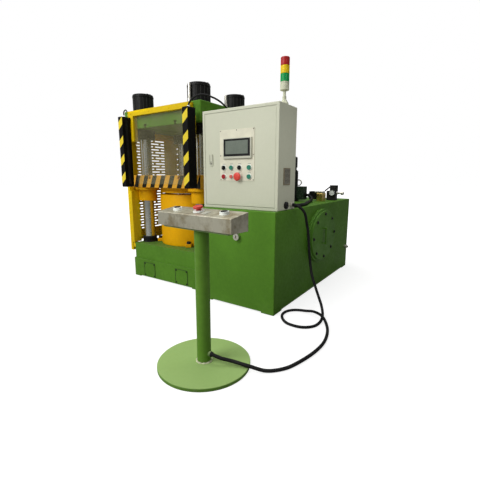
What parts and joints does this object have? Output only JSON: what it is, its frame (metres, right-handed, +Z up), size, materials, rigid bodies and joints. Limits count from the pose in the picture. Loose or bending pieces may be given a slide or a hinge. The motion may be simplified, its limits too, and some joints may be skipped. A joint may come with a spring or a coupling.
{
  "type": "hydraulic press",
  "caption": "Column-guided hydraulic press: up-stroking platen over a main cylinder, slotted guards, oil tank with cabinet, pump and valves, and a two-hand stand on a cable.",
  "frame": {"origin": "on the floor under the middle of the machine's bounding box, measured without the free cable", "axes": "+Z up, -Y towards the operator, +X to the operator's right from the press to the tank and the two-hand stand"},
  "size_m": [2.4058, 2.9636, 1.964],
  "materials": {
    "green_paint": "satin enamel on steel",
    "yellow_paint": "gloss enamel on steel",
    "grey_paint": "fine textured powder coat",
    "hard_chrome": "ground and chromed",
    "machined_steel": "machined or brushed",
    "black_metal": "semi-matt black paint",
    "black_plastic": "fine grained",
    "rubber": "cable sheath",
    "clear_sheet": "clear polycarbonate",
    "brass": "machined",
    "cream_sheet": "cream panel sheet",
    "green_plastic": "moulded",
    "red_plastic": "moulded",
    "grey_plastic": "moulded",
    "green_lens": "ribbed lens",
    "amber_lens": "ribbed lens",
    "red_lens": "ribbed lens"
  },
  "bodies": {
    "machine": {"base": "green_paint", "main_cylinder": "yellow_paint", "column_front_left": "hard_chrome", "column_front_right": "hard_chrome", "column_rear_left": "hard_chrome", "column_rear_right": "hard_chrome", "cap_front_left": "black_metal", "cap_front_right": "black_metal", "cap_rear_left": "black_metal", "cap_rear_right": "black_metal", "crown": "green_paint", "guard_frame": "yellow_paint", "guard_left": "yellow_paint", "guard_right": "yellow_paint", "guard_back": "yellow_paint", "screen": "clear_sheet", "curtain_left": "black_plastic", "curtain_right": "black_plastic", "hose_left": "rubber", "hose_right": "rubber", "tank_hose": "rubber", "cable": "rubber", "oil_tank": "green_paint", "cleaning_cover": "green_paint", "drain_plug": "machined_steel", "front_plug": "machined_steel", "pump_motor": "black_metal", "valve_block": "brass", "relief_valve": "black_metal", "pressure_gauge": "machined_steel", "cabinet": "grey_paint", "cable_gland": "black_plastic", "lamp_stem": "grey_plastic", "lens_green": "green_lens", "lens_amber": "amber_lens", "lens_red": "red_lens", "stand": "green_paint", "console": "machined_steel"},
    "platen": {"platen": "yellow_paint", "ram": "machined_steel", "bush_front_left": "yellow_paint", "bush_front_right": "yellow_paint", "bush_rear_left": "yellow_paint", "bush_rear_right": "yellow_paint"},
    "door": {"cabinet_door": "grey_paint", "operator_plate": "cream_sheet", "screen_unit": "machined_steel"},
    "lock": {"door_lock": "black_plastic"},
    "left_selector": {"selector_left": "black_plastic"},
    "right_selector": {"selector_right": "black_plastic"},
    "upper_left_push": {"push_upper_left": "green_plastic"},
    "upper_right_push": {"push_upper_right": "green_plastic"},
    "lower_left_push": {"push_lower_left": "red_plastic"},
    "lower_middle_push": {"push_lower_middle": "red_plastic"},
    "lower_right_push": {"push_lower_right": "green_plastic"},
    "panel_stop": {"emergency_stop": "red_plastic"},
    "left_palm": {"palm_left": "black_plastic"},
    "right_palm": {"palm_right": "black_plastic"},
    "stand_stop": {"console_stop": "red_plastic"},
    "relief": {"relief_knob": "machined_steel"}
  },
  "joints": [
    {"name": "platen_lift", "type": "slide", "parent": "machine", "child": "platen", "axis": [0, 0, 1], "range_m": [0, 0.36]},
    {"name": "cabinet_door_hinge", "type": "hinge", "parent": "machine", "child": "door", "pos_m": [0.7805, -0.334, 1.2], "axis": [0, 0, 1], "range_deg": [0, 100]},
    {"name": "door_lock_turn", "type": "hinge", "parent": "door", "child": "lock", "pos_m": [0.1665, -0.337, 1.232], "axis": [0, -1, 0], "range_deg": [0, 90]},
    {"name": "left_selector_turn", "type": "hinge", "parent": "door", "child": "left_selector", "pos_m": [0.3015, -0.344, 1.167], "axis": [0, -1, 0], "range_deg": [-45, 45]},
    {"name": "right_selector_turn", "type": "hinge", "parent": "door", "child": "right_selector", "pos_m": [0.4585, -0.344, 1.167], "axis": [0, -1, 0], "range_deg": [-45, 45]},
    {"name": "upper_left_push_in", "type": "slide", "parent": "door", "child": "upper_left_push", "axis": [0, 1, 0], "range_m": [0, 0.004], "stiffness_N_per_m": 600},
    {"name": "upper_right_push_in", "type": "slide", "parent": "door", "child": "upper_right_push", "axis": [0, 1, 0], "range_m": [0, 0.004], "stiffness_N_per_m": 600},
    {"name": "lower_left_push_in", "type": "slide", "parent": "door", "child": "lower_left_push", "axis": [0, 1, 0], "range_m": [0, 0.004], "stiffness_N_per_m": 600},
    {"name": "lower_middle_push_in", "type": "slide", "parent": "door", "child": "lower_middle_push", "axis": [0, 1, 0], "range_m": [0, 0.004], "stiffness_N_per_m": 600},
    {"name": "lower_right_push_in", "type": "slide", "parent": "door", "child": "lower_right_push", "axis": [0, 1, 0], "range_m": [0, 0.004], "stiffness_N_per_m": 600},
    {"name": "panel_stop_push_in", "type": "slide", "parent": "door", "child": "panel_stop", "axis": [0, 1, 0], "range_m": [0, 0.004], "stiffness_N_per_m": 900},
    {"name": "left_palm_push_in", "type": "slide", "parent": "machine", "child": "left_palm", "axis": [0.0146, 0.1673, -0.9858], "range_m": [0, 0.005], "stiffness_N_per_m": 700},
    {"name": "right_palm_push_in", "type": "slide", "parent": "machine", "child": "right_palm", "axis": [0.0146, 0.1673, -0.9858], "range_m": [0, 0.005], "stiffness_N_per_m": 700},
    {"name": "stand_stop_push_in", "type": "slide", "parent": "machine", "child": "stand_stop", "axis": [0.0146, 0.1673, -0.9858], "range_m": [0, 0.005], "stiffness_N_per_m": 900},
    {"name": "relief_knob_turn", "type": "hinge", "parent": "machine", "child": "relief", "pos_m": [0.7755, 1.115, 0.912], "axis": [1, 0, 0], "range_deg": [-180, 180]}
  ]
}
